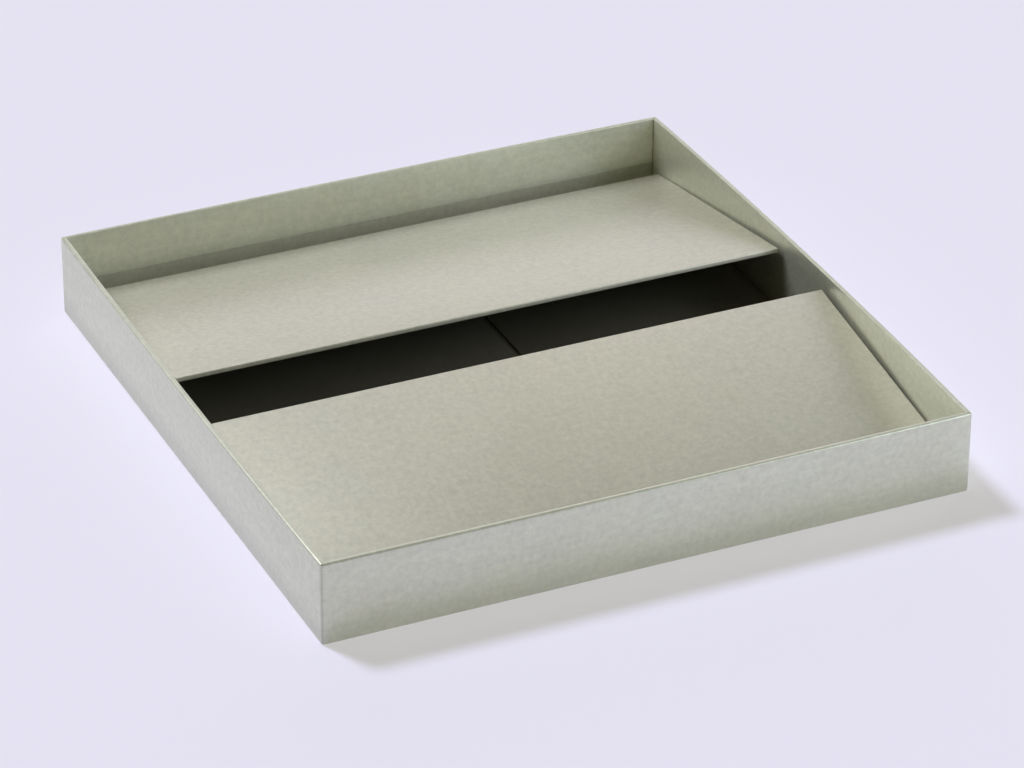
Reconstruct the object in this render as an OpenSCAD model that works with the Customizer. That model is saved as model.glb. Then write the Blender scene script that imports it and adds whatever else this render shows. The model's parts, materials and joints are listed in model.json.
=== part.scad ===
// Shallow rigid gift box tray with two inner flaps on paper hinges.
// Millimetres, +Z up, +X right, +Y towards the back. The origin is the middle of the underside.

/* [Tray] */
// Outside width of the tray at its floor, left to right
tray_w = 300; // [240:1:360]
// Outside depth of the tray, front to back
tray_d = 309; // [280:1:400]
// Outside height of the tray
tray_h = 38.5; // [34:0.5:60]
// Thickness of the wrapped wall board
wall_t = 2.4; // [1.6:0.1:3.5]
// Thickness of the wrapped floor board
floor_t = 2.4; // [1.6:0.1:3]

/* [Lining pads] */
// Thickness of the dark lining pads
pad_t = 1; // [0.6:0.1:1.6]
// Clearance round the pads inside the walls
pad_gap = 0.4; // [0.2:0.1:1.5]
// Width of the groove between the two pads
groove_w = 2.6; // [1:0.1:6]
// Place of the groove, measured right of the middle
groove_x = 20.3; // [-60:0.1:60]

/* [Flaps] */
// Length of each flap along its hinge
flap_w = 292.5; // [220:0.5:292.5]
// Reach of each flap from its hinge edge to its free edge
flap_l = 125.5; // [90:0.5:130]
// Thickness of a wrapped flap board
flap_t = 2.2; // [1.4:0.1:2.6]
// How far both flaps sit to the right of the middle
flap_shift = 1; // [0:0.1:1]
// How far the flaps stand open at rest, in degrees above level
flap_open = 9.3; // [0:0.1:10]

/* [Hinges] */
// Distance from the wall's inner face to the flap's hinge line
hinge_setback = 7.4; // [6.5:0.1:12]
// Height of the hinge line above the underside
hinge_z = 10.4; // [9.5:0.1:14]
// Height of the glued tab's top edge above the underside
tab_top = 15.5; // [15:0.5:24]
// Thickness of the hinge paper
paper_t = 0.5; // [0.3:0.1:0.8]
// Running clearance between the hinge paper and the flap
hinge_gap = 0.3; // [0.2:0.1:0.5]

/* [Hidden] */
pearl = [0.70, 0.71, 0.66];
pearl_shade = [0.62, 0.63, 0.58];
lining = [0.12, 0.12, 0.12];
inner_w = tray_w - 2 * wall_t;
inner_d = tray_d - 2 * wall_t;
// How far the cutter of the hollow runs past the rim
over_cut = 1;
// The hinge line's distance from the middle of the tray
hinge_y = inner_d / 2 - hinge_setback;
// The gutter of a hinge strip is half a ring between the wall and the flap's edge
gutter_r = (hinge_setback - hinge_gap) / 2;
gutter_z = hinge_z - hinge_gap - paper_t / 4;

// Floor and four walls in one piece
module tray() {
    color(pearl) difference() {
        translate([-tray_w / 2, -tray_d / 2, 0]) cube([tray_w, tray_d, tray_h]);
        translate([-inner_w / 2, -inner_d / 2, floor_t]) cube([inner_w, inner_d, tray_h - floor_t + over_cut]);
    }
}

// Flat lining pad on the floor, from x0 to x1
module pad(x0, x1) {
    pad_d = inner_d - 2 * pad_gap;
    color(lining) translate([x0, -pad_d / 2, floor_t]) cube([x1 - x0, pad_d, pad_t]);
}

module left_pad() {
    pad(-inner_w / 2 + pad_gap, groove_x - groove_w / 2);
}

module right_pad() {
    pad(groove_x + groove_w / 2, inner_w / 2 - pad_gap);
}

// Section of a hinge strip: x is the distance from the wall's inner face, y the height
module strip_section() {
    translate([0, gutter_z]) square([paper_t, tab_top - gutter_z]);
    intersection() {
        translate([gutter_r, gutter_z]) difference() {
            circle(r = gutter_r, $fn = 64);
            circle(r = gutter_r - paper_t, $fn = 64);
        }
        translate([0, gutter_z - 2 * gutter_r]) square([2 * gutter_r, 2 * gutter_r]);
    }
}

// Paper strip along the back wall: a glued tab and the gutter below the flap's edge
module hinge_strip() {
    color(pearl_shade)
        translate([flap_shift - flap_w / 2, inner_d / 2, 0])
            rotate([90, 0, 90])
                linear_extrude(flap_w)
                    mirror([1, 0]) strip_section();
}

// Wrapped board at the back, its lower hinge edge on the hinge line and its free edge raised
module flap() {
    color(pearl)
        translate([flap_shift, hinge_y, hinge_z])
            rotate([-flap_open, 0, 0])
                translate([-flap_w / 2, -flap_l, 0]) cube([flap_w, flap_l, flap_t]);
}

module far_hinge() {
    hinge_strip();
}

module near_hinge() {
    mirror([0, 1, 0]) hinge_strip();
}

module far_flap() {
    flap();
}

module near_flap() {
    mirror([0, 1, 0]) flap();
}

tray();
left_pad();
right_pad();
far_hinge();
near_hinge();
far_flap();
near_flap();
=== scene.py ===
"""Shallow gift box tray in pearl paper, with two inner flaps on paper hinges."""

import json
import math

import bmesh
import bpy
from mathutils import Matrix, Vector

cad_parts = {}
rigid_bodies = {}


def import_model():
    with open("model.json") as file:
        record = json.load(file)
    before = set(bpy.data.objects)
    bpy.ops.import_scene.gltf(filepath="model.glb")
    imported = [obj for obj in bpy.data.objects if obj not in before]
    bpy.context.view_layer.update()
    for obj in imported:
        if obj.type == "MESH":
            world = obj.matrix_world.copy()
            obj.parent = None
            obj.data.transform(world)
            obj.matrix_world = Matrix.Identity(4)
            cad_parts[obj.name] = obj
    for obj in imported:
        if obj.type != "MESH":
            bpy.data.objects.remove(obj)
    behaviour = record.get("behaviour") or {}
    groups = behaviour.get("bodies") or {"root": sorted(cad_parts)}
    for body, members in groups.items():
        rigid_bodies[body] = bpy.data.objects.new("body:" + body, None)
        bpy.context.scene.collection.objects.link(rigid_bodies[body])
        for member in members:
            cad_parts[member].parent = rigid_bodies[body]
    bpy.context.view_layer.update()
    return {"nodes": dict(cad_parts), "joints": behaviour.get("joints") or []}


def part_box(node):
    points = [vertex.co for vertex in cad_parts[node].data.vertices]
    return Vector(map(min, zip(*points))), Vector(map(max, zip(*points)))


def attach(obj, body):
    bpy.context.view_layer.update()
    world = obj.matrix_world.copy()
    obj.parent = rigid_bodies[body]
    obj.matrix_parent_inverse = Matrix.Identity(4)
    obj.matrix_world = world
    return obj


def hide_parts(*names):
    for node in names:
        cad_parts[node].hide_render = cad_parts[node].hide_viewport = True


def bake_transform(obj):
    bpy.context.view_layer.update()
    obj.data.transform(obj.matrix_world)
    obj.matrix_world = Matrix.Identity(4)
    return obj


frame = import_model()

bl_info = {
    "name": "Pearl Paper Gift Box Tray",
    "version": (1, 0, 0),
    "blender": (4, 5, 0),
    "location": "View3D > Sidebar > Gift Box",
    "description": "Builds a rigid gift box tray with two inner flaps on paper hinges",
    "category": "Add Mesh",
}

MM = 0.001
SLACK = 0.01 * MM
CORNERS = ((-1, -1), (1, -1), (1, 1), (-1, 1))
BODY_OF_SIDE = {1: "far_flap", -1: "near_flap"}

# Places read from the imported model, in metres
TRAY_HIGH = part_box("tray")[1]
PADS = {name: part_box(name) for name in ("left_pad", "right_pad")}
STRIP_LOW, STRIP_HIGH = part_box("far_hinge")
JOINTS = {joint["name"]: joint for joint in frame["joints"]}
HINGE = Vector(JOINTS["far_flap_hinge"]["pos_m"])
FLAP_POINTS = [vertex.co.copy() for vertex in frame["nodes"]["far_flap"].data.vertices]
FREE_EDGE = min(FLAP_POINTS, key=lambda co: co.y)
BACK_EDGE = max(FLAP_POINTS, key=lambda co: co.y)
FLAP_REACH = math.hypot(HINGE.y - FREE_EDGE.y, FREE_EDGE.z - HINGE.z)
FLAP_THICK = math.hypot(BACK_EDGE.y - HINGE.y, BACK_EDGE.z - HINGE.z)
FLAP_TILT = math.atan2(FREE_EDGE.z - HINGE.z, HINGE.y - FREE_EDGE.y)
WALL_FACE = STRIP_HIGH.y
WALL = TRAY_HIGH.y - WALL_FACE
SETBACK = WALL_FACE - HINGE.y
FLOOR_TOP = PADS["left_pad"][0].z

# Parts that a wall or a hinge paper is cut into along its length, so that it can bow
CUTS = 12
# Mitre line: the turn in degrees after which it sinks, and its depth as a share of its width
MITRE_START = 36
MITRE_DEPTH = 0.8
# Gutter of a hinge paper: how far below the hinge line its curve starts, and its two pulls
GUTTER_START = 0.6 * MM
GUTTER_WALL_PULL = 4.2 * MM
GUTTER_FLAP_PULL = 5.2 * MM
# Gutter: where across it the second pull is, its gap at the flap, its steps, and its end under the flap
GUTTER_PULL_PLACE = 0.55
GUTTER_GAP = 0.25 * MM
GUTTER_STEPS = 16
TAIL = 1.8 * MM
# Rounding of a sheet's edges, as a share of the paper's thickness
SHEET_ROUND = 0.4

# A face is flat where its normal is this near an axis, and counts as bent with an edge this short
FLAT = 0.999
SHORT_EDGE = 1 * MM
# How fast a bend counts in full, the lean above which an edge is an upper one, and how fast that counts
BEND_GAIN = 3.4
UPPER_LEAN = 0.15
LEAN_GAIN = 10
# Height up to which painted shade darkens the foot of the walls
FOOT_SHADE_HEIGHT = 0.4 * TRAY_HIGH.z
# Tint of the warmer clouds in the pearl paper
WARM_TINT = (1.015, 0.995, 0.95)

# Floor card: half its width, and how far it lies below the box
FLOOR_HALF = 6.0
FLOOR_DROP = 0.02 * MM
# Camera: the point that it looks at, its sensor's width in millimetres, and how far it sees
AIM = Vector((9.3, 9.6, 0)) * MM
SENSOR = 36
FAR_CLIP = 100

# Soft lamps on the box: azimuth (0 behind, 90 right), elevation, distance, width, watts of each colour
LAMPS = {
    "key": (-48, 50, 1.10, 0.62, (4.00, 4.07, 4.22)),
    "key_high": (-24, 60, 1.10, 0.75, (1.80, 1.82, 2.05)),
    "front_right": (140, 25, 0.90, 0.45, (1.10, 1.28, 1.34)),
    "right": (112, 28, 0.75, 0.35, (1.00, 1.00, 1.22)),
    "back_right": (35, 42, 0.80, 0.35, (0.12, 0.11, 0.06)),
}
# Suns on the floor: angular width, strength of each colour, and whether the box stops them
SUN_WAY = Vector((-0.25, 0.55, 0.80))
SUNS = {
    "floor_shade": (12, (1.20, 1.20, 1.68), True),
    "floor_fill": (12, (2.00, 1.98, 1.84), False),
}
# Sky: light from all round, and a brighter patch with its azimuth, elevation and narrowness
SKY_EVEN = (0.125, 0.122, 0.075)
SKY_PATCH = (1.25, 1.21, 1.38)
PATCH_PLACE = (24, 10)
PATCH_POWER = 14


class BoardSizes(bpy.types.PropertyGroup):
    """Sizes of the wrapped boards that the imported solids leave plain."""

    right_bow: bpy.props.FloatProperty(
        name="Right Bow", description="How far the rim of the right wall bows outwards at mid-length",
        default=2.4 * MM, min=0, max=5 * MM, unit="LENGTH")
    left_bow: bpy.props.FloatProperty(
        name="Left Bow", description="How far the rim of the left wall bows outwards at mid-length",
        default=1.2 * MM, min=0, max=5 * MM, unit="LENGTH")
    end_bow: bpy.props.FloatProperty(
        name="End Bow", description="How far the rim of the front or back wall bows outwards",
        default=0.7 * MM, min=0, max=5 * MM, unit="LENGTH")
    corner_radius: bpy.props.FloatProperty(
        name="Corner Radius", description="Radius of the tray's upright outer corners",
        default=1.5 * MM, min=0.2 * MM, max=2 * MM, unit="LENGTH")
    rim_outer: bpy.props.FloatProperty(
        name="Rim Outer Radius", description="Radius of the paper at the outer edge of the rim",
        default=0.95 * MM, min=0.1 * MM, max=1.2 * MM, unit="LENGTH")
    rim_inner: bpy.props.FloatProperty(
        name="Rim Inner Radius", description="Radius of the paper at the inner edge of the rim",
        default=0.45 * MM, min=0.1 * MM, max=1 * MM, unit="LENGTH")
    foot: bpy.props.FloatProperty(
        name="Foot Radius", description="Radius of the paper where the walls turn under the floor",
        default=0.8 * MM, min=0.1 * MM, max=1.2 * MM, unit="LENGTH")
    mitre: bpy.props.FloatProperty(
        name="Mitre", description="Width of the line where the papers of two walls meet at a corner",
        default=1.0 * MM, min=0.2 * MM, max=1.0 * MM, unit="LENGTH")
    flap_radius: bpy.props.FloatProperty(
        name="Flap Radius", description="Radius of the paper round the edges of a flap",
        default=0.5 * MM, min=0.1 * MM, max=1 * MM, unit="LENGTH")
    pad_radius: bpy.props.FloatProperty(
        name="Pad Radius", description="Radius of the edges of a lining pad",
        default=0.45 * MM, min=0.1 * MM, max=0.45 * MM, unit="LENGTH")
    margin: bpy.props.FloatProperty(
        name="Margin", description="Wrap paper that shows round the lining sheet under a flap",
        default=3.0 * MM, min=1 * MM, max=20 * MM, unit="LENGTH")
    paper: bpy.props.FloatProperty(
        name="Paper", description="Thickness of the paper",
        default=0.25 * MM, min=0.1 * MM, max=0.6 * MM, unit="LENGTH")


class PaperColours(bpy.types.PropertyGroup):
    """Colours of the papers and of the stage."""

    wrap: bpy.props.FloatVectorProperty(
        name="Wrap", description="Colour of the pearl paper", subtype="COLOR", size=3,
        default=(0.735, 0.755, 0.66), min=0, max=1)
    # Flap colour: a little warmer and less green than the wrap, a painted tint of the warm reflection
    # on the flaps
    flap: bpy.props.FloatVectorProperty(
        name="Flap", description="Colour of the pearl paper on the flaps, cut across the sheet",
        subtype="COLOR", size=3, default=(0.75, 0.74, 0.65), min=0, max=1)
    # Hinge colour: the pearl paper darkened, painted shade for the band that the hinge tab makes on the
    # back wall
    hinge: bpy.props.FloatVectorProperty(
        name="Hinge", description="Colour of the hinge papers", subtype="COLOR", size=3,
        default=(0.60, 0.60, 0.52), min=0, max=1)
    lining: bpy.props.FloatVectorProperty(
        name="Lining", description="Colour of the dark lining paper", subtype="COLOR", size=3,
        default=(0.145, 0.135, 0.098), min=0, max=1)
    floor: bpy.props.FloatVectorProperty(
        name="Floor", description="Colour of the floor", subtype="COLOR", size=3,
        default=(0.80, 0.79, 0.88), min=0, max=1)


class StudioSettings(bpy.types.PropertyGroup):
    """The camera and the light."""

    azimuth: bpy.props.FloatProperty(
        name="Azimuth", description="Camera's place round the box, from straight in front",
        default=math.radians(-24.51), subtype="ANGLE")
    elevation: bpy.props.FloatProperty(
        name="Elevation", description="Camera's height above the horizon",
        default=math.radians(29.75), subtype="ANGLE")
    roll: bpy.props.FloatProperty(
        name="Roll", description="Turn of the camera about its own line of sight",
        default=math.radians(0.22), subtype="ANGLE")
    distance: bpy.props.FloatProperty(
        name="Distance", description="Camera's distance from the point that it looks at",
        default=2.164, min=0.5, max=10, unit="LENGTH")
    lens: bpy.props.FloatProperty(
        name="Lens", description="Focal length for a 36 mm sensor, in millimetres",
        default=170.8, min=20, max=400)
    lamps: bpy.props.FloatProperty(
        name="Lamps", description="Strength of the soft lamps round the box",
        default=1.0, min=0, max=10)
    sky: bpy.props.FloatProperty(
        name="Sky", description="Strength of the light from all round",
        default=1.0, min=0, max=10)
    floor_light: bpy.props.FloatProperty(
        name="Floor Light", description="Strength of the light on the floor",
        default=1.0, min=0, max=10)


class Field:
    """A number that varies over a surface, which Python's arithmetic works on."""

    def __init__(self, tree, socket):
        self.tree = tree
        self.socket = socket

    def _math(self, operation, first, second):
        node = self.tree.nodes.new("ShaderNodeMath")
        node.operation = operation
        for place, value in zip(node.inputs, (first, second)):
            feed(self.tree, place, value)
        return Field(self.tree, node.outputs[0])

    def __add__(self, other):
        return self._math("ADD", self, other)

    def __radd__(self, other):
        return self._math("ADD", other, self)

    def __sub__(self, other):
        return self._math("SUBTRACT", self, other)

    def __rsub__(self, other):
        return self._math("SUBTRACT", other, self)

    def __mul__(self, other):
        return self._math("MULTIPLY", self, other)

    def __pow__(self, other):
        return self._math("POWER", self, other)

    def swing(self, amount):
        """The field's swing about its middle, times an amount."""
        return (self - 0.5) * amount


def feed(tree, place, value):
    """Links a field to an input socket, or sets the socket to a plain value."""
    if isinstance(value, Field):
        tree.links.new(value.socket, place)
    else:
        place.default_value = value


class Nodes:
    """The node tree of a material or a world, with one method that adds any node to it."""

    def __init__(self, holder):
        holder.use_nodes = True
        self.holder = holder
        self.tree = holder.node_tree
        self.tree.nodes.clear()

    def node(self, kind, settings=None, out=0, **sockets):
        """Adds a node, applies its settings, feeds its sockets, and returns one of its outputs.

        A socket is named as in the editor with _ for a space, or i and its number where names repeat.
        """
        made = self.tree.nodes.new("ShaderNode" + kind)
        for key, value in (settings or {}).items():
            setattr(made, key, value)
        for key, value in sockets.items():
            number = key[1:]
            place = made.inputs[int(number) if number.isdigit() else key.replace("_", " ")]
            feed(self.tree, place, value)
        return None if out is None else Field(self.tree, made.outputs[out])

    def noise(self, where, size, stretch=(1, 1, 1), detail=3.0, roughness=0.6):
        """Noise from 0 to 1 whose grains are about size metres across, drawn out by stretch."""
        scale = tuple(1 / (size * share) for share in stretch)
        mapped = self.node("Mapping", {}, 0, Vector=where, Scale=scale)
        return self.node(
            "TexNoise", {}, 0, Vector=mapped, Scale=1.0, Detail=detail, Roughness=roughness)

    def shade(self, colour, level):
        """A colour made brighter or darker by a field that is 1 where the colour stays."""
        grey = self.node("CombineColor", {}, 0, Red=level, Green=level, Blue=level)
        base = colour if isinstance(colour, Field) else (*colour, 1)
        return self.node(
            "Mix", {"data_type": "RGBA", "blend_type": "MULTIPLY"}, 2, i0=1.0, i6=base, i7=grey)

    def finish(self, shader, output="Material"):
        """Leads a shader to the output, and returns the material or the world."""
        self.node("Output" + output, {}, None, Surface=shader)
        return self.holder


def pearl_paper(name, colour, grain_way=(0, 0, 0), foot_shade=0.0, roughness=0.38, metallic=0.5):
    """Pearl paper: a satin metallic coat over short fibres, softly blotched, worn and painted with
    light and shade at its edges.

    Its streaks run along the axes that are 1 in grain_way, and foot_shade is how much painted shade
    darkens its foot.
    """
    paint = Nodes(bpy.data.materials.new(name))
    where = paint.node("TexCoord", {}, 3)
    stretch = tuple(1 + 9 * share for share in grain_way)
    blotch = paint.noise(where, 2.8 * MM, detail=3.0, roughness=0.65)
    fibre = paint.noise(where, 0.9 * MM, stretch=(1.0, 1.6, 1.0), detail=2.0)
    streak = paint.noise(where, 1.8 * MM, stretch=stretch, detail=3.0)
    cloud = paint.noise(where, 40 * MM, detail=2.0)
    tone = paint.noise(where, 18 * MM, detail=2.0)
    height = paint.node("SeparateXYZ", {}, 2, Vector=where)
    # Painted shade: the paper gets darker towards the foot of the walls
    low = paint.node(
        "MapRange", {"interpolation_type": "SMOOTHSTEP"}, 0,
        Value=height, i1=0.0, i2=FOOT_SHADE_HEIGHT, i3=1.0, i4=0.0)
    # Edges: upper ones lighter, partly wear and partly painted highlight; lower and upright ones darker
    # with painted shade
    edge_wear_and_painted_light = paint.node("Attribute", {"attribute_name": "edge"}, 2) * (0.12 + blotch * 0.24)
    level = (
        1.0 + edge_wear_and_painted_light + blotch.swing(0.36) + fibre.swing(0.07) + streak.swing(0.14) + cloud.swing(0.08)
        - low * (0.6 + blotch * 0.8) * foot_shade)
    warm = tuple(channel * share for channel, share in zip(colour, WARM_TINT))
    tinted = paint.node("Mix", {"data_type": "RGBA"}, 2, i0=tone, i6=(*colour, 1), i7=(*warm, 1))
    rough = roughness + blotch.swing(0.10) + cloud.swing(0.05)
    bump = paint.node("Bump", {}, 0, Strength=0.3, Distance=0.06 * MM, Height=fibre + blotch * 0.8)
    shader = paint.node(
        "BsdfPrincipled", {}, 0, Base_Color=paint.shade(tinted, level), Metallic=metallic,
        Roughness=rough, Normal=bump)
    shader.socket.node.inputs["Specular IOR Level"].default_value = 0.25
    return paint.finish(shader)


def lining_paper(name, colour):
    """Dark uncoated lining paper with a faint nap, darker where it bends."""
    paint = Nodes(bpy.data.materials.new(name))
    where = paint.node("TexCoord", {}, 3)
    nap = paint.noise(where, 0.6 * MM, detail=3.0)
    blotch = paint.noise(where, 4 * MM, detail=2.0)
    cloud = paint.noise(where, 30 * MM, detail=2.0)
    edge = paint.node("Attribute", {"attribute_name": "edge"}, 2)
    level = 1.0 - edge * edge * 0.5 + nap.swing(0.3) + blotch.swing(0.25) + cloud.swing(0.3)
    bump = paint.node("Bump", {}, 0, Strength=0.4, Distance=0.08 * MM, Height=nap)
    shader = paint.node(
        "BsdfPrincipled", {}, 0, Base_Color=paint.shade(colour, level), Roughness=0.62 + nap.swing(0.1),
        Normal=bump)
    return paint.finish(shader)


def box_form(low, high):
    """A bmesh box between two corners, and the bmesh it is in."""
    form = bmesh.new()
    bmesh.ops.create_cube(form, size=1)
    low, high = Vector(low), Vector(high)
    bmesh.ops.scale(form, vec=high - low, verts=form.verts)
    bmesh.ops.translate(form, vec=(low + high) / 2, verts=form.verts)
    return form


def cut_across(form, axis, places):
    """Adds a loop of edges across the form at each place along an axis."""
    normal = Vector([1.0 if i == axis else 0.0 for i in range(3)])
    for place in places:
        geometry = list(form.verts) + list(form.edges) + list(form.faces)
        bmesh.ops.bisect_plane(form, geom=geometry, dist=1e-7, plane_co=normal * place, plane_no=normal)


def round_edges(form, edges, radius, segments=3):
    """Rounds edges to a radius."""
    bmesh.ops.bevel(
        form, geom=list(edges), offset=radius, offset_type="OFFSET", segments=segments, profile=0.5,
        affect="EDGES", clamp_overlap=False, material=-1)


def sharp_edges(form, least=math.radians(40)):
    """Edges whose two faces meet at more than an angle."""
    return [edge for edge in form.edges if edge.is_manifold and edge.calc_face_angle(0) > least]


def mark_edges(form):
    """Stores where paper bends: 1 on upper edges, lighter as wear and painted highlight, -1 on lower
    and upright ones, darker as painted shade.

    A flat face with a very short edge counts in full.
    """
    layer = form.loops.layers.float.new("edge")
    form.normal_update()
    for face in form.faces:
        flat = max(abs(part) for part in face.normal) > FLAT
        thin = min(edge.calc_length() for edge in face.edges) < SHORT_EDGE
        for loop in face.loops:
            normal = loop.vert.normal
            bend = 1 - max(abs(part) for part in normal)
            level = float(thin) if flat else min(1.0, BEND_GAIN * bend)
            # Positive marks paint a highlight on upper edges, negative marks paint shade on lower and
            # upright edges
            loop[layer] = level * min(max((normal.z - UPPER_LEAN) * LEAN_GAIN, -1), 1)


def face_outwards(form):
    """Turns all faces of a closed form outwards."""
    bmesh.ops.recalc_face_normals(form, faces=form.faces)
    if form.calc_volume(signed=True) < 0:
        bmesh.ops.reverse_faces(form, faces=form.faces)
    form.normal_update()


def make_piece(name, form, material, smooth=math.radians(35)):
    """Turns a finished form into an object at the origin, with its material."""
    bmesh.ops.remove_doubles(form, verts=form.verts, dist=1e-6)
    face_outwards(form)
    mesh = bpy.data.meshes.new(name)
    form.to_mesh(mesh)
    form.free()
    mesh.shade_smooth()
    mesh.set_sharp_from_angle(angle=smooth)
    mesh.materials.append(material)
    piece = bpy.data.objects.new(name, mesh)
    bpy.context.scene.collection.objects.link(piece)
    return piece


def bow_of(co, sizes):
    """How far the walls' bow moves a point of a side wall in x, and of an end wall in y."""
    height = max(0.0, co.z) / TRAY_HIGH.z
    along_side = 1 - (co.y / TRAY_HIGH.y) ** 2
    along_end = 1 - (co.x / TRAY_HIGH.x) ** 2
    side_bow = sizes.right_bow if co.x > 0 else sizes.left_bow
    return side_bow * height * along_side, sizes.end_bow * height * along_end


def bow_walls(form, sizes):
    """Bends the walls outwards, most at the rim and at mid-length."""
    inner_x = TRAY_HIGH.x - WALL - SLACK
    inner_y = TRAY_HIGH.y - WALL - SLACK
    for vert in form.verts:
        push_x, push_y = bow_of(vert.co, sizes)
        x, y = vert.co.x, vert.co.y
        if abs(x) > inner_x:
            vert.co.x += math.copysign(push_x, x)
        if abs(y) > inner_y:
            vert.co.y += math.copysign(push_y, y)


def wall_profile(sizes):
    """Section of a wall as (inset, height, turn), from the foot over the rim to the floor's top.

    Turn is the normal's angle in degrees: -90 down, 0 outwards, 90 up, 180 inwards.
    """
    top = TRAY_HIGH.z
    outer, inner, foot = sizes.rim_outer, sizes.rim_inner, sizes.foot
    profile = []
    for turn in range(-90, 0, 30):
        angle = math.radians(turn)
        profile.append((foot * (1 - math.cos(angle)), foot * (1 + math.sin(angle)), turn))
    profile += [(0, foot + (top - outer - foot) * share, 0) for share in (0, 0.25, 0.5, 0.75)]
    for turn in range(0, 91, 18):
        angle = math.radians(turn)
        profile.append((outer * (1 - math.cos(angle)), top - outer * (1 - math.sin(angle)), turn))
    for turn in range(90, 181, 30):
        angle = math.radians(turn)
        inset = WALL - inner * (1 + math.cos(angle))
        profile.append((inset, top - inner * (1 - math.sin(angle)), turn))
    deep = top - inner - FLOOR_TOP
    profile += [(WALL, FLOOR_TOP + deep * share, 180) for share in (0.75, 0.5, 0.25, 0)]
    return profile


def wall_ring(form, inset, height, radius):
    """A flat face with rounded corners: the tray's outline, inset and lifted."""
    x, y = TRAY_HIGH.x - inset, TRAY_HIGH.y - inset
    corners = [form.verts.new((side_x * x, side_y * y, height)) for side_x, side_y in CORNERS]
    face = form.faces.new(corners)
    bmesh.ops.bevel(
        form, geom=[*face.verts, *face.edges], offset=radius, offset_type="OFFSET", segments=4,
        profile=0.5, affect="VERTICES", clamp_overlap=False, material=-1)


def sink_mitre(face, inset, height, turn, mitre):
    """Sinks a ring's corners where the papers of two walls meet, in full from the rim's top inwards."""
    sink = mitre * MITRE_DEPTH * min(max((turn - MITRE_START) / (90 - MITRE_START), 0), 1)
    angle = math.radians(turn)
    for vert in face.verts:
        off_x, off_y = TRAY_HIGH.x - abs(vert.co.x), TRAY_HIGH.y - abs(vert.co.y)
        if sink and abs(off_x - off_y) < SLACK:
            corner = Vector((
                math.copysign(TRAY_HIGH.x - inset, vert.co.x),
                math.copysign(TRAY_HIGH.y - inset, vert.co.y), height))
            out = Vector((math.copysign(1, vert.co.x), math.copysign(1, vert.co.y), 0))
            out = out.normalized() * math.cos(angle) + Vector((0, 0, math.sin(angle)))
            vert.co = corner - out * sink


class GIFTBOX_OT_tray(bpy.types.Operator):
    """Model the tray: a wrapped shell with bowed walls, rounded edges and mitred corners"""

    bl_idname = "giftbox.tray"
    bl_label = "Tray"

    def execute(self, context):
        sizes = context.scene.giftbox_sizes
        colours = context.scene.giftbox_colours
        form = bmesh.new()
        rings = []
        for inset, height, turn in wall_profile(sizes):
            kept = set(form.faces)
            wall_ring(form, inset, height, max(sizes.corner_radius - inset, sizes.mitre / 2))
            (face,) = set(form.faces) - kept
            sink_mitre(face, inset, height, turn, sizes.mitre)
            rings.append(face)
        for lower, upper in zip(rings, rings[1:]):
            bmesh.ops.bridge_loops(form, edges=[*lower.edges, *upper.edges])
        bmesh.ops.delete(form, geom=rings[1:-1], context="FACES_ONLY")
        face_outwards(form)
        mark_edges(form)
        shares = [step / CUTS for step in range(1 - CUTS, CUTS)]
        cut_across(form, 0, [TRAY_HIGH.x * share for share in shares])
        cut_across(form, 1, [TRAY_HIGH.y * share for share in shares])
        bow_walls(form, sizes)
        # The tray's paper gets painted shade at its foot
        paper = pearl_paper("tray_paper", colours.wrap, grain_way=(1, 1, 0), foot_shade=0.17, metallic=0.55)
        piece = make_piece("tray_shell", form, paper)
        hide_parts("tray")
        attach(piece, "tray")
        return {"FINISHED"}


class GIFTBOX_OT_pads(bpy.types.Operator):
    """Model the two dark pads that line the floor, and the dark sheet that they lie on"""

    bl_idname = "giftbox.pads"
    bl_label = "Lining Pads"

    def execute(self, context):
        sizes = context.scene.giftbox_sizes
        lining = lining_paper("pad_lining", context.scene.giftbox_colours.lining)
        for name, (low, high) in PADS.items():
            form = box_form(low, high)
            round_edges(form, sharp_edges(form), sizes.pad_radius)
            mark_edges(form)
            piece = make_piece(name + "_lined", form, lining)
            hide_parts(name)
            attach(piece, "tray")
        corner = Vector((TRAY_HIGH.x - WALL - sizes.margin, TRAY_HIGH.y - WALL - sizes.margin, 0))
        form = box_form(
            Vector((0, 0, FLOOR_TOP - sizes.paper)) - corner,
            Vector((0, 0, FLOOR_TOP + sizes.paper)) + corner)
        round_edges(form, sharp_edges(form), sizes.paper * SHEET_ROUND, segments=2)
        sheet = make_piece("floor_sheet", form, lining)
        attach(sheet, "tray")
        return {"FINISHED"}


def flap_place(side):
    """Matrix from a flap's own frame (x along the hinge, y reach, z thickness) to its place at rest."""
    reach = Vector((0, -side * math.cos(FLAP_TILT), math.sin(FLAP_TILT)))
    up = Vector((0, side * math.sin(FLAP_TILT), math.cos(FLAP_TILT)))
    corner = Vector((0, side * HINGE.y, HINGE.z))
    place = Matrix((Vector((1, 0, 0)), reach, up)).transposed().to_4x4()
    place.translation = corner
    return place


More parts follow.
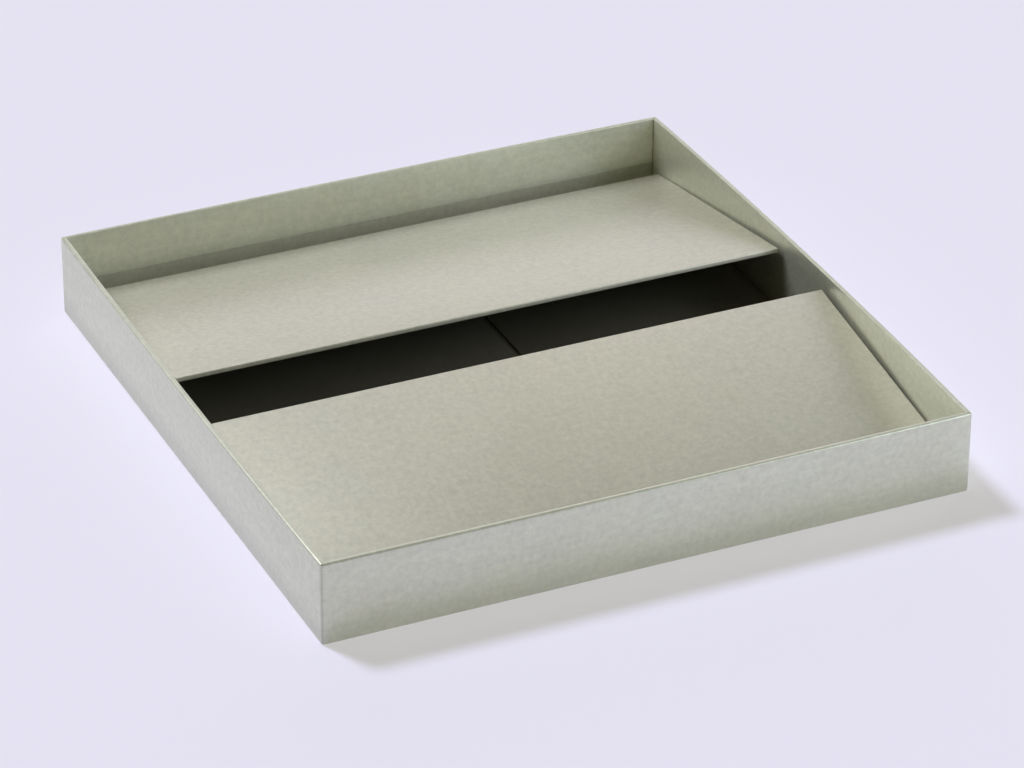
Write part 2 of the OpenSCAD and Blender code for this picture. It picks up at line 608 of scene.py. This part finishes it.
class GIFTBOX_OT_flaps(bpy.types.Operator):
    """Model the two wrapped flaps, each with a lining sheet underneath"""

    bl_idname = "giftbox.flaps"
    bl_label = "Flaps"

    def execute(self, context):
        sizes = context.scene.giftbox_sizes
        colours = context.scene.giftbox_colours
        # The flap colour carries a painted tint of the warm reflection on the flaps
        paper = pearl_paper("flap_paper", colours.flap, metallic=0.36, roughness=0.42)
        lining = lining_paper("flap_lining", colours.lining)
        for side, body in BODY_OF_SIDE.items():
            low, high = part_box(body)
            form = box_form((low.x, 0, 0), (high.x, FLAP_REACH, FLAP_THICK))
            round_edges(form, sharp_edges(form), sizes.flap_radius)
            mark_edges(form)
            bmesh.ops.transform(form, matrix=flap_place(side), verts=form.verts)
            board = make_piece(body + "_board", form, paper)
            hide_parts(body)
            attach(board, body)
            form = box_form(
                (low.x + sizes.margin, sizes.margin, -sizes.paper),
                (high.x - sizes.margin, FLAP_REACH - sizes.margin, sizes.paper))
            round_edges(form, sharp_edges(form), sizes.paper * SHEET_ROUND, segments=2)
            bmesh.ops.transform(form, matrix=flap_place(side), verts=form.verts)
            sheet = make_piece(body + "_lining", form, lining)
            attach(sheet, body)
        return {"FINISHED"}


def strip_line(sizes):
    """Section of a hinge paper as (distance from the wall's face, height): tab, gutter, flap's edge."""
    half = sizes.paper / 2
    tab_top = STRIP_HIGH.z
    start = Vector((half, HINGE.z - GUTTER_START))
    end = Vector((SETBACK - GUTTER_GAP, HINGE.z - GUTTER_GAP))
    pull_down = Vector((half, HINGE.z - GUTTER_WALL_PULL))
    pull_in = Vector((GUTTER_PULL_PLACE * SETBACK, HINGE.z - GUTTER_FLAP_PULL))
    line = [Vector((half, tab_top)), Vector((half, (tab_top + HINGE.z) / 2))]
    for step in range(GUTTER_STEPS + 1):
        t = step / GUTTER_STEPS
        line.append(
            start * (1 - t) ** 3 + pull_down * 3 * t * (1 - t) ** 2
            + pull_in * 3 * t * t * (1 - t) + end * t ** 3)
    line.append(end + Vector((math.cos(FLAP_TILT), math.sin(FLAP_TILT))) * TAIL)
    return line


class GIFTBOX_OT_hinges(bpy.types.Operator):
    """Model the hinge papers, shaped for the flaps at rest"""

    bl_idname = "giftbox.hinges"
    bl_label = "Hinge Papers"

    def execute(self, context):
        sizes = context.scene.giftbox_sizes
        colours = context.scene.giftbox_colours
        # The darker hinge colour is painted shade of the band on the back wall
        paper = pearl_paper("hinge_paper", colours.hinge, grain_way=(1, 0, 0))
        line = strip_line(sizes)
        for side, body in BODY_OF_SIDE.items():
            form = bmesh.new()
            chain = [
                form.verts.new((STRIP_LOW.x, side * (WALL_FACE - point.x), point.y)) for point in line]
            edges = [form.edges.new(pair) for pair in zip(chain, chain[1:])]
            swept = bmesh.ops.extrude_edge_only(form, edges=edges)["geom"]
            far_end = [part for part in swept if isinstance(part, bmesh.types.BMVert)]
            bmesh.ops.translate(form, vec=(STRIP_HIGH.x - STRIP_LOW.x, 0, 0), verts=far_end)
            cut_across(form, 0, [TRAY_HIGH.x * step / CUTS for step in range(1 - CUTS, CUTS)])
            for vert in form.verts:
                away = (WALL_FACE - abs(vert.co.y)) / SETBACK
                push = bow_of(vert.co, sizes)[1] * max(0.0, 1 - away)
                vert.co.y += side * push
            bmesh.ops.recalc_face_normals(form, faces=form.faces)
            bmesh.ops.solidify(form, geom=list(form.faces), thickness=sizes.paper)
            piece = make_piece(body.replace("flap", "hinge") + "_paper", form, paper)
            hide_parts(body.replace("flap", "hinge"))
            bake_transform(piece)
        return {"FINISHED"}


def towards(azimuth, elevation):
    """Unit vector from the box to a place round it, given in degrees."""
    azimuth, elevation = math.radians(azimuth), math.radians(elevation)
    flat = math.cos(elevation)
    return Vector((math.sin(azimuth) * flat, math.cos(azimuth) * flat, math.sin(elevation)))


def sky_world(strength):
    """Soft surroundings: dim all round, with a brighter patch low behind the box."""
    sky = Nodes(bpy.data.worlds.new("soft_surroundings"))
    where = sky.node("TexCoord", {}, 0)
    facing = sky.node("VectorMath", {"operation": "DOT_PRODUCT"}, 1, i0=where, i1=towards(*PATCH_PLACE))
    narrow = sky.node("Clamp", {}, 0, Value=facing) ** PATCH_POWER
    even = sky.node("Background", {}, 0, Color=(*SKY_EVEN, 1), Strength=strength)
    patch = sky.node("Background", {}, 0, Color=(*SKY_PATCH, 1), Strength=narrow * strength)
    return sky.finish(sky.node("AddShader", {}, 0, i0=even, i1=patch), "World")


def add_lamp(name, kind, way, power, lit, **settings):
    """Adds a lamp that shines along a direction, on the objects of one collection only."""
    lamp = bpy.data.lights.new(name, kind)
    lamp.energy = max(power)
    lamp.color = [share / max(power) for share in power]
    for key, value in settings.items():
        setattr(lamp, key, value)
    holder = bpy.data.objects.new(name, lamp)
    holder.rotation_mode = "QUATERNION"
    holder.rotation_quaternion = way.to_track_quat("Z", "Y")
    holder.visible_camera = False
    holder.light_linking.receiver_collection = lit
    bpy.context.scene.collection.objects.link(holder)
    return holder


def floor_card(colour):
    """The pale card that the box stands on."""
    form = bmesh.new()
    bmesh.ops.create_grid(form, x_segments=1, y_segments=1, size=FLOOR_HALF)
    bmesh.ops.translate(form, vec=(0, 0, -FLOOR_DROP), verts=form.verts)
    paint = Nodes(bpy.data.materials.new("floor_card"))
    shader = paint.node("BsdfPrincipled", {}, 0, Base_Color=(*colour, 1), Roughness=0.9)
    shader.socket.node.inputs["Specular IOR Level"].default_value = 0.2
    mesh = bpy.data.meshes.new("floor")
    form.to_mesh(mesh)
    form.free()
    mesh.materials.append(paint.finish(shader))
    floor = bpy.data.objects.new("floor", mesh)
    bpy.context.scene.collection.objects.link(floor)
    return floor


def set_camera(studio):
    """Places the camera round the point that it looks at."""
    back = Vector((
        math.sin(studio.azimuth) * math.cos(studio.elevation),
        -math.cos(studio.azimuth) * math.cos(studio.elevation),
        math.sin(studio.elevation)))
    right = Vector((math.cos(studio.azimuth), math.sin(studio.azimuth), 0))
    up = back.cross(right)
    turn = Matrix.Rotation(studio.roll, 3, back)
    lens = bpy.data.cameras.new("camera")
    lens.lens = studio.lens
    lens.sensor_width = SENSOR
    lens.clip_end = FAR_CLIP
    camera = bpy.data.objects.new("camera", lens)
    pose = Matrix((turn @ right, turn @ up, back)).transposed().to_4x4()
    pose.translation = AIM + back * studio.distance
    camera.matrix_world = pose
    bpy.context.scene.collection.objects.link(camera)
    bpy.context.scene.camera = camera


class GIFTBOX_OT_stage(bpy.types.Operator):
    """Set the floor, the lights and the camera"""

    bl_idname = "giftbox.stage"
    bl_label = "Stage"

    def execute(self, context):
        scene = context.scene
        studio = scene.giftbox_studio
        on_box = bpy.data.collections.new("lit_box")
        for piece in scene.objects:
            if piece.type == "MESH":
                on_box.objects.link(piece)
        floor = floor_card(scene.giftbox_colours.floor)
        on_floor = bpy.data.collections.new("lit_floor")
        on_floor.objects.link(floor)

        scene.world = sky_world(studio.sky)
        for name, (azimuth, elevation, distance, width, watts) in LAMPS.items():
            way = towards(azimuth, elevation)
            power = [share * studio.lamps for share in watts]
            lamp = add_lamp(name, "AREA", way, power, on_box, shape="DISK", size=width)
            lamp.location = way * distance
        for name, (width, strength, stopped) in SUNS.items():
            power = [share * studio.floor_light for share in strength]
            sun = add_lamp(name, "SUN", SUN_WAY, power, on_floor, angle=math.radians(width))
            if not stopped:
                sun.light_linking.blocker_collection = on_floor

        set_camera(studio)
        scene.view_settings.view_transform = "Standard"
        return {"FINISHED"}


class GIFTBOX_PT_panel(bpy.types.Panel):
    """Lists the steps that build the box"""

    bl_idname = "GIFTBOX_PT_panel"
    bl_label = "Gift Box"
    bl_space_type = "VIEW_3D"
    bl_region_type = "UI"
    bl_category = "Gift Box"

    def draw(self, context):
        for step in STEPS:
            self.layout.operator(step.bl_idname)
        for group in ("giftbox_sizes", "giftbox_colours", "giftbox_studio"):
            values = getattr(context.scene, group)
            for name in values.__annotations__:
                self.layout.prop(values, name)


STEPS = (
    GIFTBOX_OT_tray,
    GIFTBOX_OT_pads,
    GIFTBOX_OT_flaps,
    GIFTBOX_OT_hinges,
    GIFTBOX_OT_stage,
)
GROUPS = {
    "giftbox_sizes": BoardSizes,
    "giftbox_colours": PaperColours,
    "giftbox_studio": StudioSettings,
}


def register():
    for group in GROUPS.values():
        bpy.utils.register_class(group)
    for name, group in GROUPS.items():
        setattr(bpy.types.Scene, name, bpy.props.PointerProperty(type=group))
    for step in STEPS:
        bpy.utils.register_class(step)
    bpy.utils.register_class(GIFTBOX_PT_panel)


def unregister():
    bpy.utils.unregister_class(GIFTBOX_PT_panel)
    for step in reversed(STEPS):
        bpy.utils.unregister_class(step)
    for name in GROUPS:
        delattr(bpy.types.Scene, name)
    for group in reversed(list(GROUPS.values())):
        bpy.utils.unregister_class(group)


def main():
    register()
    bpy.ops.giftbox.tray()
    bpy.ops.giftbox.pads()
    bpy.ops.giftbox.flaps()
    bpy.ops.giftbox.hinges()
    bpy.ops.giftbox.stage()


if __name__ == "__main__":
    main()
